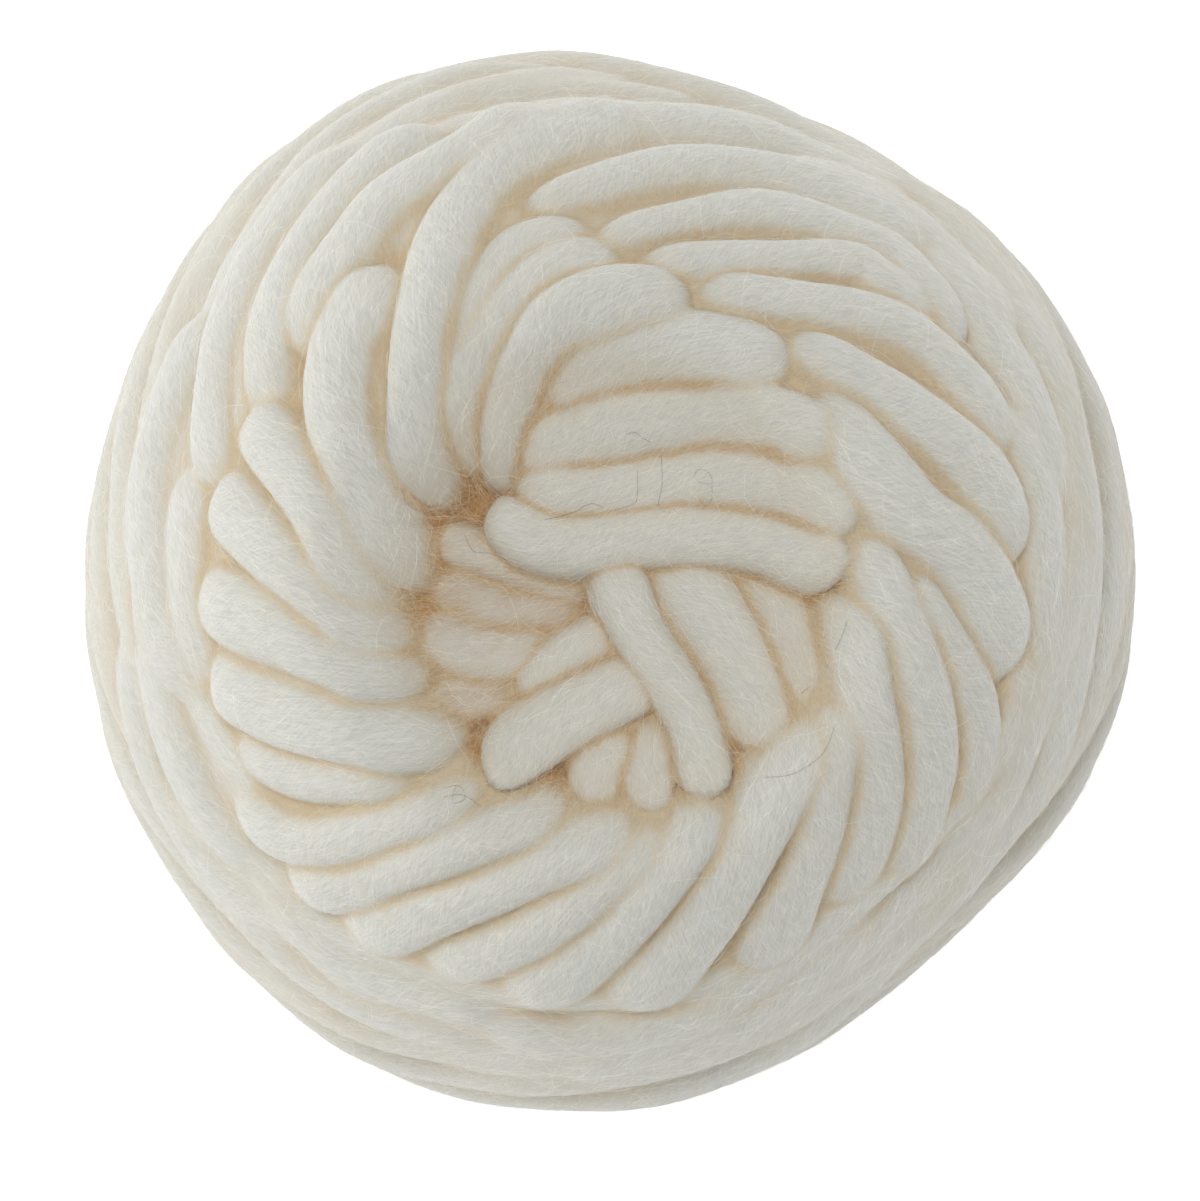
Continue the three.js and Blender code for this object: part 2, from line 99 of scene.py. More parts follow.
# Slow changes along a turn, two of its width and one of its lift: size, and run for one radian
WAVES = ((0.045, 5.3), (0.03, 2.6), (0.14, 3.7))

# Section of a turn: how full it is, how steeply it falls past its edge, how far it reaches in half
# widths, and the run of a narrowing end in widths
SECTION_POWER = 2.2
EDGE_DROP = 2.2
REACH = 1.3
NOSE_TAPER = 0.95

# Loops round the sides: tilts in degrees, and lifts of the first and the last
BELT_COUNT = 24
BELT_PLACES = 241
BELT_TILTS = (35.0, 28.5, 22.0)
BELT_LIFTS = (-5.0, -0.4)

# Spiral of the underside: latitudes and sweep in degrees, and how lifts change from turn to turn
UNDER_COUNT = 19
UNDER_PLACES = 60
UNDER_LATITUDES = (-29.0, -72.0)
UNDER_SWEEP = 90.0
UNDER_LIFT = 0.5
UNDER_LIFT_STEP = 3.1

# Turns that show on the upper end: lift, width, then x, y places along the turn's middle
MIDDLE_TURNS = (
    (0, 8.8, (-7.6, 19), (-2, 24), (7.5, 26.5), (19.8, 25.3)),
    (0.5, 6.7, (-10, 14), (-3, 16.9), (10, 18.7), (19.6, 18), (24.4, 14.4)),
    (0.4, 7, (-9.6, 10.4), (0, 10.4), (12, 11.7), (21, 10.2), (25.8, 5.6)),
    (0.8, 6.5, (-13, 7.4), (-6, 4.3), (8, 5.4), (19, 4), (25.4, 1)),
)

# Turns whose last end passes under others
CROSSING_TURNS = (
    (-3.4, 5.6, (-21.4, 5), (-16.8, 3.9), (-9.6, 1.3), (-3.2, -0.7)),
    (-4, 6.2, (-23.2, -0.1), (-19.4, -1.3), (-13, -3.5), (-4.2, -3.8)),
    (-3, 6.8, (-24.4, -5.6), (-21.2, -7.2), (-15, -9.1), (-8.4, -9)),
    (-3.8, 5.4, (-23.8, -12.2), (-21.4, -13.2), (-17.2, -14.4), (-11.4, -13.4)),
    (-1.8, 5.8, (-10, -14.2), (-5.8, -9.5), (1.3, -5.7)),
    (0.6, 6.6, (-13.5, -21.2), (-5.4, -15.8), (4.6, -11)),
)

# Turns whose first end passes under others
HANGING_TURNS = (
    (1.2, 5.8, (0.9, 0.5), (3.2, -5.8), (8.8, -15), (10.9, -23.4)),
    (-0.6, 9.2, (7.6, 2.5), (12.2, -5), (16.2, -13.3), (16.3, -18.8)),
    (-2.2, 6.2, (16, 2), (20.3, -4), (21.7, -9.5), (19.2, -17.4)),
    (-0.8, 6.6, (1.4, -16.5), (-1, -20.8), (-2.8, -25.4)),
    (-0.8, 6.6, (5.6, -17.2), (4.4, -21.5), (3.8, -26.2)),
)

# Turns that bow round the middle
BOWED_TURNS = (
    (1, 6.4, (7.4, 33), (0, 32.4), (-7, 28.8), (-11.4, 20), (-13, 13.6)),
    (-1.2, 6, (-3, 41), (-10.6, 39.6), (-15.6, 33), (-17, 22)),
    (-0.7, 6.8, (0.5, 37.8), (-7, 36.4), (-12.2, 31.4), (-16, 24), (-17.4, 15.4)),
    (0.2, 8.8, (0, 54.6), (-9.6, 50.8), (-17.6, 43), (-22.2, 29), (-22.8, 11.8)),
    (0.5, 8.8, (-27, 35.4), (-31.4, 27.6), (-31.8, 19), (-28.8, 10), (-25.8, 0.4)),
)

# Turns of the slanting ring, from the outside in
RING_TURNS = (
    (0.7, 7.6, (-41.2, 18.4), (-37.2, 13.2), (-33.4, 7.6), (-30.6, 2.2), (-28, -3)),
    (0.3, 8.6, (-45.4, 9.8), (-40.6, 4.8), (-35, -0.4), (-30.4, -4.2), (-26.4, -7.8)),
    (0.1, 8.8, (-47, -2), (-40, -5.6), (-32.5, -9.4), (-24.4, -12.4)),
    (0.4, 9, (-45.6, -12), (-39.5, -14.8), (-32, -17.2), (-20.6, -19.8)),
    (-1, 7, (-43.4, -19.6), (-36, -23), (-23.5, -24)),
    (0, 7.4, (-43, -27), (-37, -30), (-30, -29.8), (-17, -25.8)),
    (0.2, 6.8, (-35.8, -35.6), (-29, -35.2), (-23.5, -33), (-6.6, -27)),
    (0.2, 8, (-28.8, -41), (-20, -38.2), (-12.5, -35.3), (1.6, -29)),
    (0.1, 7.4, (-19.6, -45), (-12, -42.3), (-5.5, -38.6), (6, -30)),
    (0.2, 9, (-10.8, -48.2), (-3, -44), (2, -39.2), (11.8, -27)),
    (0.2, 9.2, (2, -49), (9, -42.6), (14, -35.2), (24, -17)),
    (0, 8, (17.6, -44.6), (21, -38), (24.2, -30), (26.8, -15)),
    (0.1, 7.8, (27.4, -37), (31, -25), (29.4, -11), (27.8, -3.4)),
    (0.2, 7.8, (33.6, -34), (37.4, -21), (34.8, -7), (29.8, 4)),
    (-0.3, 6.6, (41.2, -27), (43, -17), (40.4, -8.6), (35, 0.4)),
    (0.3, 11.4, (47, -8.6), (42, 2), (35.2, 8.2), (29, 14.8), (24.6, 20.8)),
    (0.2, 9.4, (47.6, 4), (43.2, 12.6), (33.6, 21), (22.3, 27.6)),
    (0.1, 7.8, (46, 15.6), (41.6, 23), (31.5, 30.6), (11.5, 34)),
    (0, 6.6, (38, 30.5), (32, 34.6), (26, 37.6), (4.4, 36.9)),
    (0.1, 7.2, (41, 29), (36, 35), (30.5, 39.8), (17, 43.4), (0, 40.2)),
    (0.1, 8.4, (37, 39.5), (25, 46.2), (10, 48.8), (-8.4, 44.2)),
)

# Turns along the rim, under the ring's outer ends
RIM_TURNS = (
    (-1.2, 7.8, (-47.5, -13), (-50, -4), (-50.2, 6), (-49, 14)),
    (-1.6, 7.4, (-44, 13), (-43, 24), (-40.4, 35), (-34, 45)),
    (0.1, 6.8, (-40.2, 20.5), (-39.2, 30), (-36, 38.5), (-30.6, 45.6), (-22, 53)),
    (-1.4, 8, (-27, 38), (-22.6, 45.4), (-15, 51.6), (-5, 56)),
    (0.5, 7.2, (-36.6, 27.6), (-33.6, 34), (-29.6, 39.6), (-24.4, 45), (-9, 54.6)),
    (-0.2, 7, (-46.6, 12), (-46.4, 22), (-44.2, 32), (-39, 42), (-30.5, 51)),
    (-0.4, 8, (-49, -13), (-53, -5), (-54.6, 6), (-53, 18), (-48.5, 31)),
    (-0.5, 7.8, (-54, 2), (-52.8, -13), (-48.5, -25), (-41.5, -34.5)),
    (-0.6, 7.6, (-57, -6), (-54, -22), (-46.5, -34), (-36, -42.5)),
    (-0.5, 7.6, (-41, -35.5), (-35, -41.6), (-28, -46.4), (-12, -51)),
    (-0.6, 7.6, (-45, -36.5), (-37, -45), (-27, -50.5), (-12, -54)),
    (-0.4, 7.6, (-16, -51), (-4, -53.4), (8, -51.5), (17, -48)),
    (-0.4, 7.6, (31, -39.5), (15, -51.5), (-6, -57)),
    (-0.6, 7.6, (44, -26), (33, -42), (16, -54)),
    (-0.5, 7.4, (49, -8), (48, -17), (45, -26), (35, -42)),
    (-0.5, 7.2, (46, 21), (50.6, 8), (50.4, -12)),
    (-0.4, 7.4, (37, 39.5), (47.5, 25), (53, 8)),
    (-0.4, 7.4, (20, 49.5), (35, 42.8), (48, 28.5)),
    (-0.4, 7.4, (-2, 54.5), (17, 53), (36, 44.5)),
)

# Gaps between turns: how deep they are in the ring and elsewhere, how far out the ring begins and
# is full, the latitudes where the sides end and the ring is full, and the axis that fibres in a
# gap run round
SLIT_DEPTH = 3.0
GAP_DEPTH = 7.0
RING_INSIDE = (24.0, 30.0)
RING_OUTSIDE = (math.radians(20), math.radians(32))
GAP_AXIS = (0.3, 0.2, 1.0)

# Surface: how softly turns blend, how far apart their grain is, how fine the ball of triangles is,
# the height of the directions over which it is finer, and how often values are evened out there to
# reach as far as one round elsewhere
BLEND = 0.42
GRAIN_APART = 19.0
BALL_LEVEL = 7
FINE_ABOVE = math.sin(math.radians(14))
FINE_ROUNDS = 4

# Seams between turns, drawn as lines of painted shade: rounds of evening out, the strength of their
# lines on the fine triangles and the plain ones, and how far below its surroundings a seam shows
# fully, against the least it shows
CREASE_ROUNDS = 2
CREASE_GAIN = 1.6
PLAIN_CREASE_GAIN = 0.8
RELIEF_BELOW = (0.0, 0.45)
LEAST_RELIEF = 0.65

# Painted shade in crevices: how far below their surroundings they lie, and how strongly the seams
# show on the upper end and the rim, between two latitudes, and in gaps that no turn covers
NEAR_ROUNDS = 20
CREVICE_BELOW = (0.45, 1.25)
SEAM_SHARE = 0.85
RIM_SEAM_SHARE = 0.45
RIM_END = (math.radians(25), math.radians(42))
BARE_ROUNDS = 6
BARE_SHARE = 0.7

# Soft painted shade beside seams and all over the middle, a warm tint
FOLD_ROUNDS = 26
MIDDLE_FOLD_SHADE = 0.16

# Painted shade deep down: how far below their surroundings points lie, or below the crests in the
# middle, how strongly those and the seams show there, and how much of all this is left on the sides
WIDE_ROUNDS = 110
DEPTH_BELOW = (0.9, 3.7)
SUNK_BELOW = (1.2, 5.2)
SUNK_SHARE = 0.55
MIDDLE_SEAM_SHARE = 0.5
SIDE_DEPTH = 0.25

# Fibres: where crevices count as such, the least height over the foot, how far out they are dropped
# from, how evenly they stand off the surface, and how their tones vary and darken in crevices as
# painted shade
IN_CREVICE = 0.5
FIBRE_LOWEST = 3.0
DROP_FROM = 20.0
RAISED_SHAPE = 2.0
TONE_SHAPE = (4, 1.5)
TONE_DARKENS = (0.2, 0.8)
CREVICE_FIBRE_SHADE = 0.9

# Stray hairs that show on the upper end: x, y places along each
HAIR_THICKNESS = 0.05
HAIR_PLACES = 24
HAIR_STEPS = 12
GREY_HAIRS = (
    ((1.5, 15.7), (1.8, 16.6), (2.8, 16.8), (3.6, 16.2), (4.5, 15.7)),
    ((5.7, 14.3), (5.8, 11), (5.4, 8.7), (6.2, 7.9)),
    ((3, 12.7), (3, 9.5), (2.4, 8.7), (0.3, 8)),
    ((9.4, 11.7), (9.8, 12.6), (10.9, 12.4), (11.4, 11.6), (11.2, 11), (9.6, 11.3)),
    ((9.8, 9.8), (10.2, 8.9), (10.8, 8.6), (11.4, 9.4), (11.4, 11)),
    ((-7.5, 7), (-6, 7.3), (-4, 7.9), (-3, 8.5), (-2, 8.8), (-0.8, 8.3)),
    ((-23.5, 10.5), (-22.5, 8.4), (-19, 7.5)),
    ((-16.5, 5.5), (-15.5, 3.5), (-13.5, 3.2), (-11.5, 2.4)),
    ((-3.4, -19.3), (-5.2, -21), (-6.3, -24.6)),
    ((-19.2, -23.2), (-17, -23), (-16.4, -24.4), (-17.8, -24.8), (-17.4, -22.8)),
    ((-18.8, -24.2), (-16.6, -24), (-14.4, -25.4)),
    ((17.2, -22), (20.5, -21.6), (23.8, -19.4), (25.2, -16.2)),
    ((21.4, -12.6), (22.4, -11.8)),
    ((26.6, -4.4), (26, -6.2), (25.2, -7.8)),
)

# Colours
WOOL_COOL = (0.705, 0.715, 0.685)
WOOL_WARM = (0.72, 0.715, 0.655)
WOOL_SHADE = (0.55, 0.55, 0.50)
# Painted shade: a soft, warm darkening beside seams and over the middle
FOLD_PAINTED_SHADE = (0.60, 0.545, 0.44)
# Painted shade: the warm colour of crevices between turns, where light falls dim and yellowed
CREVICE_PAINTED_SHADE = (0.565, 0.465, 0.305)
# Painted shade: the brown of the deepest gaps and sunk turns
DEPTH_PAINTED_SHADE = (0.42, 0.24, 0.10)
# Fibres go towards this warm colour at random, and also as painted shade in crevices
FUZZ_WARM = (0.60, 0.48, 0.31)
FUZZ_PALE = (0.82, 0.835, 0.82)
HAIR_GREY = (0.28, 0.27, 0.26)
FLOOR_GREY = (0.9, 0.9, 0.9)
WHITE = (1.0, 1.0, 1.0)

# Floor and light round the ball
FLOOR_SIZE = 4.0
FLOOR_GLOW = 0.7
WORLD_LIGHT = 0.43

# Photograph: pixels across, pixels to a millimetre, and the pixel over the heart
PHOTO_SIZE = (1200, 1201)
PHOTO_SCALE = 8.75
PHOTO_HEART = (610.5, 582.0)
CAMERA_DISTANCE = 3.0
CAMERA_RANGE = 20.0
SENSOR = 36.0


# Shape of the wound body


def unit(vectors):
    return vectors / (np.linalg.norm(vectors, axis=-1, keepdims=True) + TINY)


def dot(first, second):
    return np.sum(first * second, axis=-1)


def rise(value, start, end):
    """0 up to a start, rising smoothly to 1 at an end."""
    share = np.clip((value - start) / (end - start), 0, 1)
    return share * share * (3 - 2 * share)


def smooth_curve(points, per_span):
    """Smooth line through points, with per_span steps from each point to the next."""
    knots = np.asarray(points, float)
    ends = np.vstack([knots[:1], knots, knots[-1:]])
    spans = []
    for before, start, finish, after in zip(ends, ends[1:], ends[2:], ends[3:]):
        t = np.arange(per_span)[:, None] / per_span
        lead = (finish - before) / 2
        trail = (after - start) / 2
        spans.append(
            (2 * start - 2 * finish + lead + trail) * t**3
            + (3 * finish - 3 * start - 2 * lead - trail) * t**2
            + lead * t
            + start
        )
    return np.vstack(spans + [knots[-1:]])


PROFILE_PLACES = smooth_curve(PROFILE, PROFILE_STEPS) - (0, HEART_HEIGHT)
PROFILE_LATITUDE = np.arctan2(PROFILE_PLACES[:, 1], PROFILE_PLACES[:, 0])[::-1]
PROFILE_RADIUS = np.hypot(PROFILE_PLACES[:, 0], PROFILE_PLACES[:, 1])[::-1]


def crest_radius(latitude, azimuth):
    """Distance from the heart to the crests of the turns."""
    swell = np.zeros_like(azimuth)
    for middle, spread, most in SWELLS:
        apart = azimuth - math.radians(middle)
        turned = np.arctan2(np.sin(apart), np.cos(apart)) / math.radians(spread)
        swell += most * np.exp(-turned * turned)
    return np.interp(latitude, PROFILE_LATITUDE, PROFILE_RADIUS) + swell * np.cos(latitude) ** 2


def direction(latitude, azimuth):
    """Unit vectors from the heart."""
    level = np.cos(latitude)
    return np.stack([level * np.cos(azimuth), level * np.sin(azimuth), np.sin(latitude)], axis=-1)


def latitude_over(x, y):
    """Latitude at which the upper end is seen over places x, y, found by halving."""
    azimuth = np.arctan2(y, x)
    low = np.zeros_like(azimuth)
    high = np.full_like(azimuth, math.pi / 2)
    for _ in range(HALVINGS):
        middle = (low + high) / 2
        outside = crest_radius(middle, azimuth) * np.cos(middle) > np.hypot(x, y)
        low = np.where(outside, middle, low)
        high = np.where(outside, high, middle)
    return (low + high) / 2


# Turns of yarn


@dataclass
class Tuck:
    """An end of a turn: how deep it dives, over what run, how much of that is past the last place
    given, and the share of its width that the turn keeps at the tip."""

    depth: float
    run: float
    past: float
    tip: float


DEEP_TUCK = Tuck(7.0, 8.0, 3.4, 0.5)
MIDDLE_TUCK = Tuck(6.0, 6.5, 2.8, 0.35)
UNDER_TUCK = Tuck(6.0, 6.5, 3.4, 0.9)
NOSE_TUCK = Tuck(4.5, 9.0, 2.0, 0.75)
NO_TUCK = Tuck(0.0, 1.0, 0.0, 1.0)


@dataclass
class Turn:
    """One turn of yarn: directions and headings along its middle, its run, half width and lift
    there, and how high its crest stands over its edges."""

    ways: np.ndarray
    headings: np.ndarray
    along: np.ndarray
    half_width: np.ndarray
    lift: np.ndarray
    ridge: float


def nose_drop(run, tuck):
    """How far the end of a turn drops, rounded like a nose, at a run from its tip."""
    share = 1 - np.clip(run / tuck.run, 0, 1)
    return tuck.depth * (1 - np.sqrt(1 - share * share))


def nose_taper(run, tuck, width):
    """Share of its width that a tucked end keeps at a run from its tip."""
    share = 1 - np.clip(run / (NOSE_TAPER * width), 0, 1)
    return tuck.tip + (1 - tuck.tip) * np.sqrt(1 - share * share)


def slow_waves(along):
    """Slow changes along a turn, each begun anywhere in its wave."""
    begun = RANDOM.uniform(0, 2 * math.pi, len(WAVES))
    return [size * np.sin(along / run + start) for (size, run), start in zip(WAVES, begun)]


def wind(latitude, azimuth, lift, width, tucks, shares=WHOLE_WIDTH, ridge_ratio=RIDGE_RATIO):
    """A turn through places on the wound body, with its ends tucked in and shares of its width at
    them."""
    ways = direction(latitude, azimuth)
    route = ways * crest_radius(latitude, azimuth)[:, None]
    run = np.concatenate([[0], np.cumsum(np.linalg.norm(np.diff(route, axis=0), axis=1))])
    along = np.linspace(0, run[-1], max(LEAST_STEPS, round(run[-1] / TURN_STEP)) + 1)
    ways = unit(np.stack([np.interp(along, run, column) for column in ways.T], axis=-1))
    slope = np.gradient(ways, axis=0)
    to_start, to_end = along, along[-1] - along
    away = rise(np.minimum(to_start, to_end), 0, YARN_WIDTH)
    broad, fine, lumps = slow_waves(along)
    drop = nose_drop(to_start, tucks[0]) + nose_drop(to_end, tucks[1])
    taper = nose_taper(to_start, tucks[0], width) * nose_taper(to_end, tucks[1], width)
    taper *= np.interp(along, along[[0, -1]], shares)
    return Turn(
        ways=ways,
        headings=unit(slope - ways * dot(slope, ways)[:, None]),
        along=along,
        half_width=width / 2 * (1 + away * (broad + fine)) * taper,
        lift=lift + away * lumps - drop,
        ridge=ridge_ratio * width,
    )


def belt_turns():
    """Loops round the sides, each leaning towards its own azimuth and over the one before."""
    turns = []
    around = np.linspace(-math.pi, math.pi, BELT_PLACES)
    for number, lift in enumerate(np.linspace(*BELT_LIFTS, BELT_COUNT)):
        tilt = math.radians(BELT_TILTS[number % len(BELT_TILTS)])
        latitude = np.arctan(math.tan(tilt) * np.cos(around))
        azimuth = 2 * math.pi * number / BELT_COUNT + around
        turns.append(wind(latitude, azimuth, lift, FULLNESS * YARN_WIDTH, (NO_TUCK, NO_TUCK)))
    return turns


def under_turns():
    """Turns of the underside, spiralling from the sides to the foot."""
    turns = []
    latitude = np.radians(np.linspace(*UNDER_LATITUDES, UNDER_PLACES))
    sweep = np.radians(np.linspace(0, UNDER_SWEEP, UNDER_PLACES))
    for number in range(UNDER_COUNT):
        azimuth = 2 * math.pi * number / UNDER_COUNT - sweep
        lift = UNDER_LIFT * math.sin(UNDER_LIFT_STEP * number)
        turns.append(wind(latitude, azimuth, lift, FULLNESS * YARN_WIDTH, (NOSE_TUCK, NO_TUCK)))
    return turns


def lengthen(line, before, after):
    """A line with straight runs added at its two ends."""
    first = unit(line[0] - line[1])
    last = unit(line[-1] - line[-2])
    return np.vstack([line[0] + first * before, line, line[-1] + last * after])


def upper_turns(rows, tucks, shares=WHOLE_WIDTH, ridge_ratio=RIDGE_RATIO):
    """Turns of the upper end, from the rows of one table."""
    turns = []
    for lift, width, *route in rows:
        x, y = lengthen(smooth_curve(route, ROUTE_STEPS), tucks[0].past, tucks[1].past).T
        places = latitude_over(x, y), np.arctan2(y, x)
        turns.append(wind(*places, lift, FULLNESS * width, tucks, shares, ridge_ratio))
    return turns


# Ball of triangles


@dataclass
class Ball:
    """Directions from the heart all round, their latitudes, the distance to the crests there, which
    of them lie among the fine triangles, and the triangles."""

    ways: np.ndarray
    latitude: np.ndarray
    crests: np.ndarray
    fine: np.ndarray
    triangles: np.ndarray


def ball_mesh():
    """An even ball of triangles, finer over the upper end."""
    ball = bmesh.new()
    bmesh.ops.create_icosphere(ball, subdivisions=BALL_LEVEL, radius=1.0)
    upper = [edge for edge in ball.edges if min(end.co.z for end in edge.verts) > FINE_ABOVE]
    bmesh.ops.subdivide_edges(ball, edges=upper, cuts=1, use_grid_fill=True)
    bmesh.ops.triangulate(ball, faces=ball.faces)
    mesh = bpy.data.meshes.new("wound_yarn")
    ball.to_mesh(mesh)
    ball.free()
    mesh.shade_smooth()
    return mesh


def read_ball(mesh):
    """Directions and triangles of a mesh round the heart."""
    points = np.empty(len(mesh.vertices) * 3, np.float32)
    mesh.vertices.foreach_get("co", points)
    triangles = np.empty(len(mesh.loops), np.int32)
    mesh.loops.foreach_get("vertex_index", triangles)
    ways = unit(points.reshape(-1, 3).astype(float))
    latitude = np.arcsin(np.clip(ways[:, 2], -1, 1))
    crests = crest_radius(latitude, np.arctan2(ways[:, 1], ways[:, 0]))
    return Ball(ways, latitude, crests, ways[:, 2] > FINE_ABOVE, triangles.reshape(-1, 3))


def soften(values, triangles, rounds):
    """Values at points, evened out with their neighbours a number of times."""
    first, second, third = triangles.T
    count = len(values)
    around = 2 * np.bincount(triangles.ravel(), minlength=count)
    for _ in range(rounds):
        total = np.bincount(first, values[second] + values[third], count)
        total += np.bincount(second, values[first] + values[third], count)
        total += np.bincount(third, values[first] + values[second], count)
        values = total / around
    return values


def even_out(values, ball, rounds):
    """Values evened out as far on the plain triangles as by a number of rounds on the fine ones."""
    on_fine = soften(values, ball.triangles, rounds)
    on_plain = soften(values, ball.triangles, math.ceil(rounds / FINE_ROUNDS))
    return np.where(ball.fine, on_fine, on_plain)


# Surface over all the turns


@dataclass
class Surface:
    """Points of the wound surface and their triangles, with the yarn's heading at each point, the
    place in its grain, and the painted shade it takes in a crevice, beside seams and in the middle,
    and deep down."""

    points: np.ndarray
    triangles: np.ndarray
    headings: np.ndarray
    places: np.ndarray
    crevices: np.ndarray
    fold_shades: np.ndarray
    depth_shades: np.ndarray


def section(share):
    """Height over a turn's section, 1 at its crest and 0 at its edge, at a share of its half
    width."""
    rounded = (1 - np.minimum(share, 1) ** SECTION_POWER) ** (1 / SECTION_POWER)
    return rounded - EDGE_DROP * np.maximum(share - 1, 0)


def lay(turn, ball):
    """How a turn lies over directions: those it reaches, its height, place and heading."""
    closeness = ball.ways.astype(np.float32) @ turn.ways.T.astype(np.float32)
    apart = np.sqrt(np.maximum(0, 2 - 2 * closeness.max(axis=1))) * ball.crests
    reached = np.flatnonzero(apart < REACH * turn.half_width.max())
    nearest = closeness.argmax(axis=1)[reached]
    offset = (ball.ways[reached] - turn.ways[nearest]) * ball.crests[reached, None]
    heading = turn.headings[nearest]
    unheld = turn.along[nearest] + dot(offset, heading)
    run = np.clip(unheld, 0, turn.along[-1])
    across = dot(offset, np.cross(turn.ways[nearest], heading))
    share = np.hypot(across, unheld - run) / np.interp(run, turn.along, turn.half_width)
    height = np.interp(run, turn.along, turn.lift) - turn.ridge * (1 - section(share))
    return reached, height, np.stack([run, across], axis=-1), heading


def beyond_middle(ball):
    """0 inside the ring of the upper end, rising to 1 in it and outside it."""
    out = np.hypot(ball.ways[:, 0], ball.ways[:, 1]) * ball.crests
    return np.where(ball.ways[:, 2] > 0, rise(out, *RING_INSIDE), 1)


def over_sides(ball):
    """0 on the sides, rising to 1 over the upper end."""
    return rise(ball.latitude, *RING_OUTSIDE)


def gap_floor(ball):
    """Floor of the gaps between turns, against the crests: shallow in the ring, deep elsewhere."""
    in_ring = np.minimum(beyond_middle(ball), over_sides(ball))
    return (GAP_DEPTH - SLIT_DEPTH) * in_ring - GAP_DEPTH


def cut_at_foot(radius, ball):
    """Distances from the heart, flat at the foot and nowhere below it."""
    down = -ball.ways[:, 2]
    to_foot = np.full(len(down), np.inf)
    to_foot[down > 0] = HEART_HEIGHT / down[down > 0]
    on_foot = HEART_HEIGHT * np.hypot(ball.ways[:, 0], ball.ways[:, 1]) < FOOT_RADIUS * down
    return np.where(on_foot, to_foot, np.minimum(radius, to_foot))


def painted_shades(radius, turn_over, ball):
    """Painted shade at each point: how far it is in a crevice, beside seams or in the middle, and
    deep down.
    """
    seams = np.zeros(len(radius))
    seams[ball.triangles[np.ptp(turn_over[ball.triangles], axis=1) > 0]] = 1
    below = even_out(radius, ball, NEAR_ROUNDS) - radius
    relief = LEAST_RELIEF + (1 - LEAST_RELIEF) * rise(below, *RELIEF_BELOW)
    fine_lines = CREASE_GAIN * soften(seams, ball.triangles, CREASE_ROUNDS)
    lines = np.where(ball.fine, fine_lines, PLAIN_CREASE_GAIN * seams)
    creases = relief * np.minimum(1, lines)

    seam_share = RIM_SEAM_SHARE + (SEAM_SHARE - RIM_SEAM_SHARE) * rise(ball.latitude, *RIM_END)
    bare = even_out((turn_over < 0).astype(float), ball, BARE_ROUNDS)
    crevices = seam_share * np.maximum(rise(below, *CREVICE_BELOW), creases)
    crevices = np.maximum(crevices, BARE_SHARE * bare)

    in_middle = 1 - beyond_middle(ball)
    fold_shades = relief * even_out(seams, ball, FOLD_ROUNDS) + MIDDLE_FOLD_SHADE * in_middle

    depth_shades = rise(even_out(radius, ball, WIDE_ROUNDS) - radius, *DEPTH_BELOW)
    sunk = SUNK_SHARE * rise(ball.crests - radius, *SUNK_BELOW)
    depth_shades = np.maximum(depth_shades, np.maximum(MIDDLE_SEAM_SHARE * creases, sunk) * in_middle)
    depth_shades *= SIDE_DEPTH + (1 - SIDE_DEPTH) * over_sides(ball)
    return crevices, fold_shades, depth_shades


def lay_all(turns, ball):
    """The surface over all the turns, softly blended where they meet."""
    floor = gap_floor(ball)
    top = floor.copy()
    turn_over = np.full(len(top), -1)
    places = np.zeros((len(top), 3))
    headings = unit(np.cross(ball.ways, GAP_AXIS))
    laid = []
    for number, turn in enumerate(turns):
        reached, height, place, heading = lay(turn, ball)
        laid.append((reached, height))
        higher = height > top[reached]
        won = reached[higher]
        top[won] = height[higher]
        turn_over[won] = number
        places[won, :2] = place[higher]
        places[won, 2] = GRAIN_APART * number
        headings[won] = heading[higher]
    blended = np.exp((floor - top) / BLEND)
    for reached, height in laid:
        blended[reached] += np.exp((height - top[reached]) / BLEND)
    radius = cut_at_foot(ball.crests + top + BLEND * np.log(blended), ball)
    points = ball.ways * radius[:, None]
    return Surface(points, ball.triangles, headings, places, *painted_shades(radius, turn_over, ball))


def corner_places(surface):
    """Places in the grain at all corners; a triangle between two turns, or over the join of a loop,
    takes them from its first."""
    corners = surface.points[surface.triangles]
    places = surface.places[surface.triangles]
    jump = np.ptp(places, axis=1)
    between = (jump[:, 2] > 0) | (jump[:, 0] > YARN_WIDTH)
    first = surface.triangles[between, :1]
    offset = corners[between] - corners[between, :1]
    heading = surface.headings[first]
    side = np.cross(unit(corners[between, :1]), heading)
    run = np.stack([dot(offset, heading), dot(offset, side), np.zeros(offset.shape[:2])], axis=-1)
    places[between] = surface.places[first] + run
    return places


# Meshes in the frame


def heart_place(points):
    """Place of the heart in the frame, with the middle of points over the middle of the solid."""
    middle = (points.min(axis=0) + points.max(axis=0))[:2] / 2
    cad_middle = (np.array(cad_low) + np.array(cad_high))[:2] / 2
    return np.array([*(cad_middle - middle * MM), HEART_HEIGHT * MM])


def set_points(mesh, points, heart):
    """Points round the heart put in their places in the frame, never under the foot."""
    placed = heart + points.reshape(-1, 3) * MM
    placed[:, 2] = np.maximum(placed[:, 2], 0)
    mesh.vertices.foreach_set("co", placed.astype(np.float32).ravel())


def set_values(mesh, name, domain, values):
    """A number at each point, or a vector at each corner, kept with the mesh for its finish."""
    is_vector = values.shape[-1] == 3 and values.ndim > 1
    attribute = mesh.attributes.new(name, "FLOAT_VECTOR" if is_vector else "FLOAT", domain)
    key = "vector" if is_vector else "value"
    attribute.data.foreach_set(key, np.ascontiguousarray(values, np.float32).ravel())


def place_piece(name, mesh, material):
    mesh.materials.append(material)
    piece = bpy.data.objects.new(name, mesh)
    bpy.context.collection.objects.link(piece)
    return piece


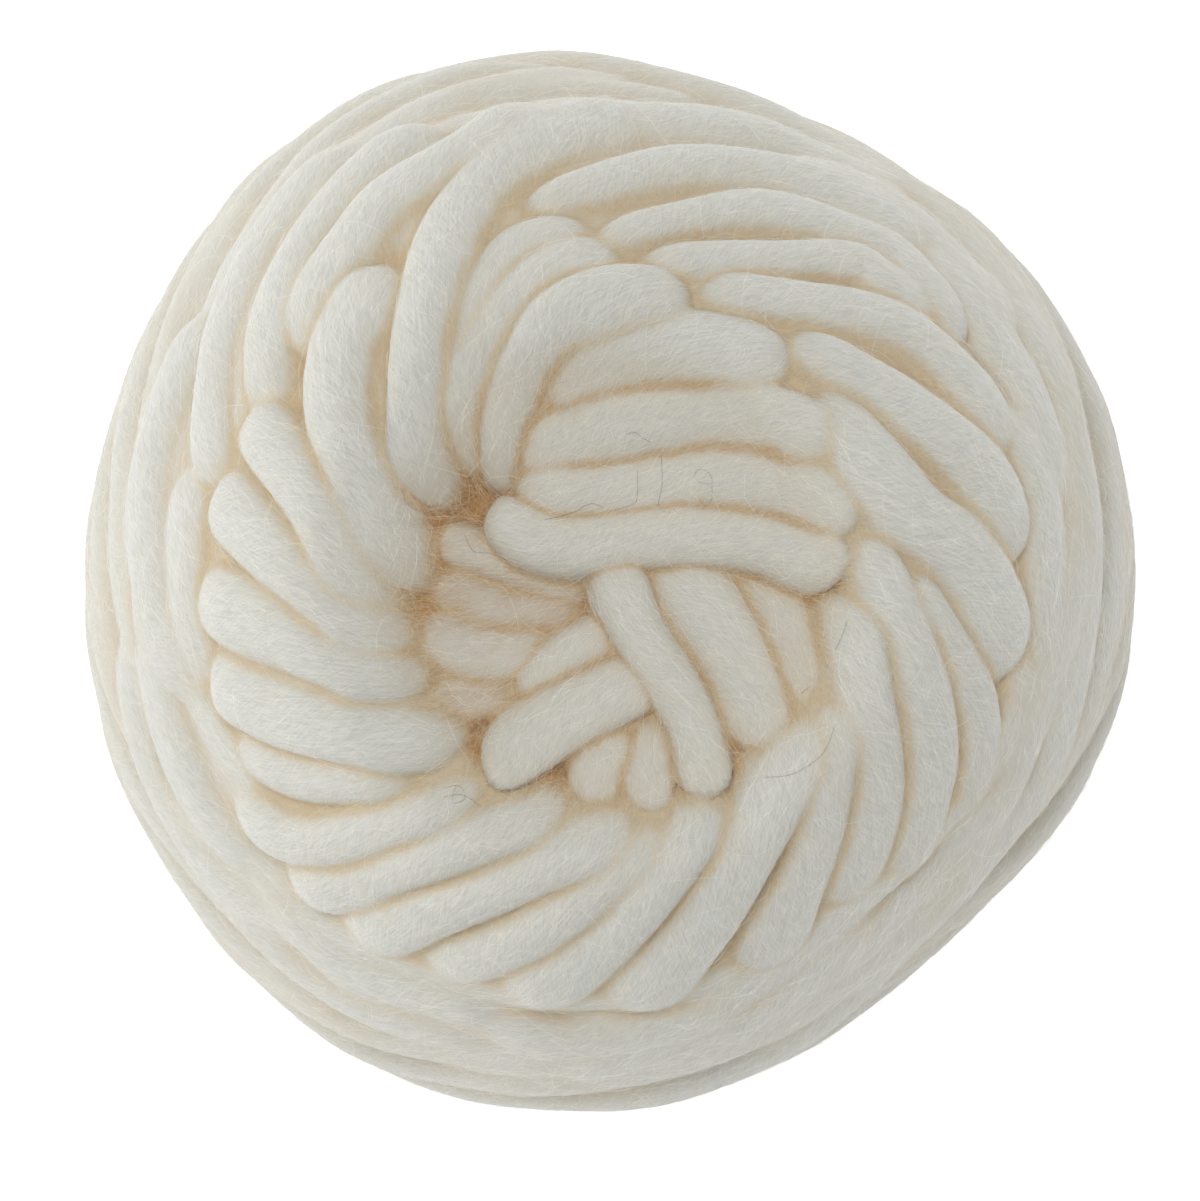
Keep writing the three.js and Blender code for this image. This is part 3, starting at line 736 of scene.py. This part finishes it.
def yarn_piece(mesh, surface, heart):
    """The wound yarn: the ball of triangles brought out to the surface over its turns."""
    set_points(mesh, surface.points, heart)
    mesh.update()
    set_values(mesh, "strand_place", "CORNER", corner_places(surface))
    # Amounts of painted shade in crevices, beside seams and deep down
    set_values(mesh, "crevice", "POINT", surface.crevices)
    set_values(mesh, "fold", "POINT", surface.fold_shades)
    set_values(mesh, "depth", "POINT", surface.depth_shades)
    return place_piece("wound_yarn", mesh, wool_material())


# Loose fibres


@dataclass
class Fibres:
    """A kind of fibre: how many, points along one, range of lengths, thickness, angle to the yarn
    and its spread, height over the surface, curl, and how keenly it grows in crevices and
    elsewhere."""

    count: int
    places: int
    lengths: tuple
    thickness: float
    slant: float
    spread: float
    raised: float
    curl: float = 0
    in_crevice: float = 1
    elsewhere: float = 1


FIBRES = {
    "nap_fibres_1": Fibres(30000, 3, (1.2, 3.6), 0.023, slant=0.7, spread=0.5, raised=0.08),
    "nap_fibres_2": Fibres(30000, 3, (1.2, 3.6), 0.023, slant=0.1, spread=0.5, raised=0.08),
    "long_fibres": Fibres(10500, 5, (3, 8), 0.025, slant=0.3, spread=0.5, raised=0.2, curl=0.2),
    "valley_fibres": Fibres(
        10000, 3, (2, 5), 0.028, slant=0.2, spread=0.6, raised=0.12, elsewhere=0
    ),
    "loose_fibres": Fibres(
        3000, 5, (4, 11), 0.03, slant=0.5, spread=0.9, raised=0.6, curl=0.4, in_crevice=5
    ),
}


def settle(points, ways, cover):
    """Points dropped along ways onto the surface."""
    settled = points.copy()
    start = points - ways * DROP_FROM
    for number, (place, way) in enumerate(zip(start, ways)):
        hit = cover.ray_cast(Vector(place), Vector(way))[0]
        if hit is not None:
            settled[number] = hit
    return settled


def draw_fibres(roots, out, heading, cover, kind):
    """Points along fibres from their roots, arching over the surface and never through it."""
    angle = RANDOM.normal(kind.slant, kind.spread, kind.count)
    way = heading * np.cos(angle)[:, None] + np.cross(out, heading) * np.sin(angle)[:, None]
    half = RANDOM.uniform(*kind.lengths, kind.count)[:, None] / 2
    bend = RANDOM.normal(0, kind.curl, kind.count)[:, None] * half
    height = RANDOM.gamma(RAISED_SHAPE, kind.raised / RAISED_SHAPE, kind.count)
    shares = np.linspace(-1, 1, kind.places)
    rested = []
    for share in shares:
        place = roots + way * half * share + np.cross(out, way) * bend * share**2
        rested.append(settle(place, -unit(roots), cover))
    points = []
    for share, rest in zip(shares, rested):
        chord = rested[0] + (rested[-1] - rested[0]) * (share + 1) / 2
        sunk = np.maximum(dot(chord - rest, out), 0)
        points.append(rest + out * (sunk + height * (1 - share**2))[:, None])
    return np.stack(points, axis=1)


def grow_fibres(surface, cover, kind):
    """Fibres rooted over the surface: points along each, ways out, and how far each is in a
    crevice."""
    corners = surface.points[surface.triangles]
    spans = corners[:, 1:] - corners[:, :1]
    outward = np.cross(spans[:, 0], spans[:, 1])
    crevice = surface.crevices[surface.triangles].mean(axis=1)
    wanted = np.where(crevice > IN_CREVICE, kind.in_crevice, kind.elsewhere)
    wanted = wanted * np.linalg.norm(outward, axis=1)
    wanted *= corners[:, :, 2].mean(axis=1) > FIBRE_LOWEST - HEART_HEIGHT
    chosen = RANDOM.choice(len(wanted), kind.count, p=wanted / wanted.sum())
    shares = RANDOM.dirichlet((1, 1, 1), kind.count)
    roots = np.einsum("nk,nkd->nd", shares, corners[chosen])
    out = unit(outward[chosen])
    heading = surface.headings[surface.triangles[chosen, 0]]
    heading = unit(heading - out * dot(heading, out)[:, None])
    return draw_fibres(roots, out, heading, cover, kind), out, crevice[chosen]


def lay_hairs(cover):
    """Points along the stray hairs, lying on the surface."""
    share = np.linspace(0, 1, HAIR_PLACES)
    down = np.tile((0.0, 0.0, -1.0), (HAIR_PLACES, 1))
    hairs = []
    for route in GREY_HAIRS:
        line = smooth_curve(route, HAIR_STEPS)
        run = np.linspace(0, 1, len(line))
        x, y = (np.interp(share, run, column) for column in line.T)
        over = np.column_stack([x, y, np.full(HAIR_PLACES, PROFILE_RADIUS.max())])
        hairs.append(settle(over, down, cover))
    return np.array(hairs) + (0, 0, HAIR_THICKNESS)


def fibre_corners(points, out, thickness):
    """Corners of three-sided fibres along points: a tip, a ring at each point between, a tip."""
    heading = unit(points[:, -1] - points[:, 0])
    first = unit(np.cross(heading, out))
    second = np.cross(heading, first)
    ring = []
    for angle in (0, 2 * math.pi / 3, 4 * math.pi / 3):
        ring.append((first * math.cos(angle) + second * math.sin(angle)) * thickness / 2)
    sleeve = points[:, 1:-1, None] + np.stack(ring, axis=1)[:, None]
    sleeve = sleeve.reshape(len(points), -1, 3)
    return np.concatenate([points[:, :1], sleeve, points[:, -1:]], axis=1)


def fibre_faces(last):
    """Triangles of one closed three-sided fibre, whose corners run from a tip 0 to a tip last."""
    faces = []
    for corner in range(3):
        after = (corner + 1) % 3
        faces.append((0, 1 + after, 1 + corner))
        for low in range(1, last - 3, 3):
            faces.append((low + corner, low + after, low + 3 + after))
            faces.append((low + corner, low + 3 + after, low + 3 + corner))
        faces.append((last - 3 + corner, last - 3 + after, last))
    return np.array(faces)


def fibre_piece(name, corners, tones, heart, material):
    """Fibres joined as one piece, each with its tone."""
    count, size, _ = corners.shape
    faces = np.arange(count)[:, None, None] * size + fibre_faces(size - 1)
    mesh = bpy.data.meshes.new(name)
    mesh.vertices.add(count * size)
    set_points(mesh, corners, heart)
    mesh.loops.add(faces.size)
    mesh.loops.foreach_set("vertex_index", faces.astype(np.int32).ravel())
    mesh.polygons.add(faces.size // 3)
    mesh.polygons.foreach_set("loop_start", np.arange(0, faces.size, 3, dtype=np.int32))
    mesh.update(calc_edges=True)
    set_values(mesh, "tone", "POINT", np.repeat(tones, size))
    return place_piece(name, mesh, material)


def fibre_pieces(surface, heart):
    """A piece of each kind of fibre, and one of stray hairs."""
    cover = BVHTree.FromPolygons(surface.points.tolist(), surface.triangles.tolist())
    fuzz = fuzz_material()
    made = []
    for name, kind in FIBRES.items():
        points, out, crevice = grow_fibres(surface, cover, kind)
        # Tones vary at random, and are darkened in crevices as painted shade
        tones = RANDOM.beta(*TONE_SHAPE, kind.count) - CREVICE_FIBRE_SHADE * rise(crevice, *TONE_DARKENS)
        corners = fibre_corners(points, out, kind.thickness)
        piece = fibre_piece(name, corners, np.clip(tones, 0, 1), heart, fuzz)
        piece.visible_shadow = False
        made.append(piece)
    hairs = lay_hairs(cover)
    corners = fibre_corners(hairs, np.tile((0.0, 0.0, 1.0), (len(hairs), 1)), HAIR_THICKNESS)
    made.append(fibre_piece("grey_hairs", corners, np.zeros(len(hairs)), heart, hair_material()))
    return made


# Finishes


def new_material(name):
    material = bpy.data.materials.new(name)
    material.use_nodes = True
    shader = material.node_tree.nodes["Principled BSDF"]
    return material, material.node_tree, shader


def attribute_node(tree, name):
    node = tree.nodes.new("ShaderNodeAttribute")
    node.attribute_name = name
    return node


def mix_colours(tree, share, first, second):
    """One colour changing into another. A mix node has its colours in sockets 6 and 7, and gives
    the mixed one in 2."""
    node = tree.nodes.new("ShaderNodeMix")
    node.data_type = "RGBA"
    tree.links.new(share, node.inputs["Factor"])
    for socket, colour in zip((node.inputs[6], node.inputs[7]), (first, second)):
        if isinstance(colour, tuple):
            socket.default_value = (*colour, 1)
        else:
            tree.links.new(colour, socket)
    return node.outputs[2]


def sum_node(tree, first, second, weight):
    """first + weight x (second - a half)"""
    node = tree.nodes.new("ShaderNodeMath")
    node.operation = "MULTIPLY_ADD"
    tree.links.new(second, node.inputs[0])
    node.inputs[1].default_value = weight
    shifted = tree.nodes.new("ShaderNodeMath")
    shifted.operation = "SUBTRACT"
    tree.links.new(first, shifted.inputs[0])
    shifted.inputs[1].default_value = weight / 2
    tree.links.new(shifted.outputs[0], node.inputs[2])
    return node.outputs[0]


def range_node(tree, value, low, high):
    """0 up to a low value, rising smoothly to 1 at a high one."""
    node = tree.nodes.new("ShaderNodeMapRange")
    node.interpolation_type = "SMOOTHSTEP"
    tree.links.new(value, node.inputs["Value"])
    node.inputs["From Min"].default_value = low
    node.inputs["From Max"].default_value = high
    return node.outputs["Result"]


def drawn_noise(tree, place, slant, scale, detail):
    """Noise drawn out into fibres that lie at a slant to the yarn, in degrees."""
    turned = tree.nodes.new("ShaderNodeMapping")
    turned.vector_type = "TEXTURE"
    turned.inputs["Rotation"].default_value = (0, 0, math.radians(slant))
    turned.inputs["Scale"].default_value = (1 / scale[0], 1 / scale[1], 1)
    noise = tree.nodes.new("ShaderNodeTexNoise")
    noise.inputs["Scale"].default_value = 1.0
    noise.inputs["Detail"].default_value = detail
    noise.inputs["Roughness"].default_value = 0.6
    tree.links.new(place, turned.inputs["Vector"])
    tree.links.new(turned.outputs["Vector"], noise.inputs["Vector"])
    return noise.outputs["Fac"]


def fibre_grain_group():
    """Fine crossing fibres: Height for the surface, Cloud for broad changes of colour."""
    group = bpy.data.node_groups.new("fibre_grain", "ShaderNodeTree")
    group.interface.new_socket("Place", in_out="INPUT", socket_type="NodeSocketVector")
    group.interface.new_socket("Height", in_out="OUTPUT", socket_type="NodeSocketFloat")
    group.interface.new_socket("Cloud", in_out="OUTPUT", socket_type="NodeSocketFloat")
    inlet = group.nodes.new("NodeGroupInput")
    outlet = group.nodes.new("NodeGroupOutput")
    place = inlet.outputs["Place"]
    along = drawn_noise(group, place, slant=14, scale=(0.36, 4.0), detail=4)
    slanting = drawn_noise(group, place, slant=50, scale=(0.42, 4.2), detail=4)
    cloud = drawn_noise(group, place, slant=25, scale=(0.12, 0.35), detail=3)
    group.links.new(sum_node(group, along, slanting, weight=0.9), outlet.inputs["Height"])
    group.links.new(cloud, outlet.inputs["Cloud"])
    return group


def wool_material():
    """Cream wool with painted shade: warmer beside seams and in crevices, and brown deep down, each
    with ragged edges.
    """
    material, tree, shader = new_material("wool")
    grain = tree.nodes.new("ShaderNodeGroup")
    grain.node_tree = fibre_grain_group()
    tree.links.new(attribute_node(tree, "strand_place").outputs["Vector"], grain.inputs["Place"])
    height = grain.outputs["Height"]
    cloud = grain.outputs["Cloud"]
    # Painted shade: the fold, crevice and depth amounts darken and warm the wool's colour
    fold, crevice, depth = (
        attribute_node(tree, name).outputs["Fac"] for name in ("fold", "crevice", "depth")
    )
    fold = sum_node(tree, fold, height, weight=0.3)
    crevice = sum_node(tree, crevice, height, weight=0.9)
    depth = sum_node(tree, depth, height, weight=0.5)
    depth = sum_node(tree, depth, cloud, weight=0.5)
    colour = mix_colours(tree, range_node(tree, cloud, 0.35, 0.65), WOOL_COOL, WOOL_WARM)
    colour = mix_colours(tree, range_node(tree, height, 0.2, 0.8), WOOL_SHADE, colour)
    colour = mix_colours(tree, range_node(tree, fold, 0, 0.55), colour, FOLD_PAINTED_SHADE)
    colour = mix_colours(tree, range_node(tree, crevice, 0.2, 1.3), colour, CREVICE_PAINTED_SHADE)
    colour = mix_colours(tree, range_node(tree, depth, 0.1, 1), colour, DEPTH_PAINTED_SHADE)
    tree.links.new(colour, shader.inputs["Base Color"])
    bump = tree.nodes.new("ShaderNodeBump")
    bump.inputs["Strength"].default_value = 0.7
    bump.inputs["Distance"].default_value = 0.2 * MM
    tree.links.new(height, bump.inputs["Height"])
    tree.links.new(bump.outputs["Normal"], shader.inputs["Normal"])
    shader.inputs["Roughness"].default_value = 0.95
    shader.inputs["Specular IOR Level"].default_value = 0.15
    shader.inputs["Sheen Weight"].default_value = 0.4
    shader.inputs["Sheen Roughness"].default_value = 0.4
    return material


def fuzz_material():
    """Fine fibres from warm to pale, with a faint painted glow that stands in for the light they
    let through.
    """
    material, tree, shader = new_material("wool_fuzz")
    tone = attribute_node(tree, "tone").outputs["Fac"]
    colour = mix_colours(tree, tone, FUZZ_WARM, FUZZ_PALE)
    tree.links.new(colour, shader.inputs["Base Color"])
    shader.inputs["Roughness"].default_value = 0.8
    shader.inputs["Specular IOR Level"].default_value = 0.2
    # Painted glow: emission that keeps the fibres from going dark
    shader.inputs["Emission Strength"].default_value = 0.2
    tree.links.new(colour, shader.inputs["Emission Color"])
    return material


def hair_material():
    material, _, shader = new_material("grey_hair")
    shader.inputs["Base Color"].default_value = (*HAIR_GREY, 1)
    shader.inputs["Roughness"].default_value = 0.6
    return material


def floor_material():
    material, _, shader = new_material("pale_floor")
    shader.inputs["Base Color"].default_value = (*FLOOR_GREY, 1)
    shader.inputs["Roughness"].default_value = 0.9
    shader.inputs["Emission Color"].default_value = (*WHITE, 1)
    shader.inputs["Emission Strength"].default_value = FLOOR_GLOW
    return material


# Floor, light and camera


def floor_piece():
    mesh = bpy.data.meshes.new("floor")
    sheet = bmesh.new()
    bmesh.ops.create_grid(sheet, x_segments=1, y_segments=1, size=FLOOR_SIZE)
    sheet.to_mesh(mesh)
    sheet.free()
    floor = place_piece("floor", mesh, floor_material())
    return floor


def soft_light(name, place, width, height, power):
    """A rectangle of light aimed at the heart."""
    lamp = bpy.data.lights.new(name, "AREA")
    lamp.shape = "RECTANGLE"
    lamp.size = width
    lamp.size_y = height
    lamp.energy = power
    light = bpy.data.objects.new(name, lamp)
    light.location = place
    aim = Vector((0, 0, HEART_HEIGHT * MM)) - Vector(place)
    light.rotation_euler = aim.to_track_quat("-Z", "Y").to_euler()
    light.visible_camera = False
    bpy.context.collection.objects.link(light)
    return light


def white_world():
    world = bpy.data.worlds.new("studio")
    world.use_nodes = True
    background = world.node_tree.nodes["Background"]
    background.inputs["Color"].default_value = (*WHITE, 1)
    background.inputs["Strength"].default_value = WORLD_LIGHT
    return world


def photo_camera(heart):
    """A camera that looks straight down, with the heart where the photograph has it."""
    to_metres = MM / PHOTO_SCALE
    lens = bpy.data.cameras.new("camera")
    lens.sensor_width = SENSOR
    lens.lens = SENSOR * CAMERA_DISTANCE / (PHOTO_SIZE[1] * to_metres)
    lens.clip_end = CAMERA_RANGE
    camera = bpy.data.objects.new("camera", lens)
    camera.location = (
        heart[0] + (PHOTO_SIZE[0] / 2 - PHOTO_HEART[0]) * to_metres,
        heart[1] + (PHOTO_HEART[1] - PHOTO_SIZE[1] / 2) * to_metres,
        heart[2] + CAMERA_DISTANCE,
    )
    bpy.context.collection.objects.link(camera)
    return camera


# Building the ball

every_turn = (
    belt_turns()
    + under_turns()
    + upper_turns(RIM_TURNS, (NOSE_TUCK, NOSE_TUCK), ridge_ratio=RIM_RIDGE_RATIO)
    + upper_turns(RING_TURNS, (NOSE_TUCK, DEEP_TUCK), INWARD_WIDTH)
    + upper_turns(BOWED_TURNS, (DEEP_TUCK, DEEP_TUCK), INWARD_WIDTH)
    + upper_turns(MIDDLE_TURNS, (MIDDLE_TUCK, MIDDLE_TUCK))
    + upper_turns(CROSSING_TURNS, (MIDDLE_TUCK, UNDER_TUCK))
    + upper_turns(HANGING_TURNS, (UNDER_TUCK, MIDDLE_TUCK))
)
wound = ball_mesh()
surface = lay_all(every_turn, read_ball(wound))
heart = heart_place(surface.points)
yarn = yarn_piece(wound, surface, heart)
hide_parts("yarn_ball")
pieces = [yarn]
pieces += fibre_pieces(surface, heart)

for piece in pieces:
    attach(piece, "root")

# Setting the stage

floor_piece()
soft_light("window_light", place=(-1.2, -0.1, 0.1), width=0.9, height=0.18, power=4.7)
soft_light("upper_light", place=(-0.15, 0.3, 1.55), width=0.7, height=0.7, power=11.5)
bpy.context.scene.world = white_world()
bpy.context.scene.camera = photo_camera(heart)
bpy.context.scene.view_settings.view_transform = "Standard"
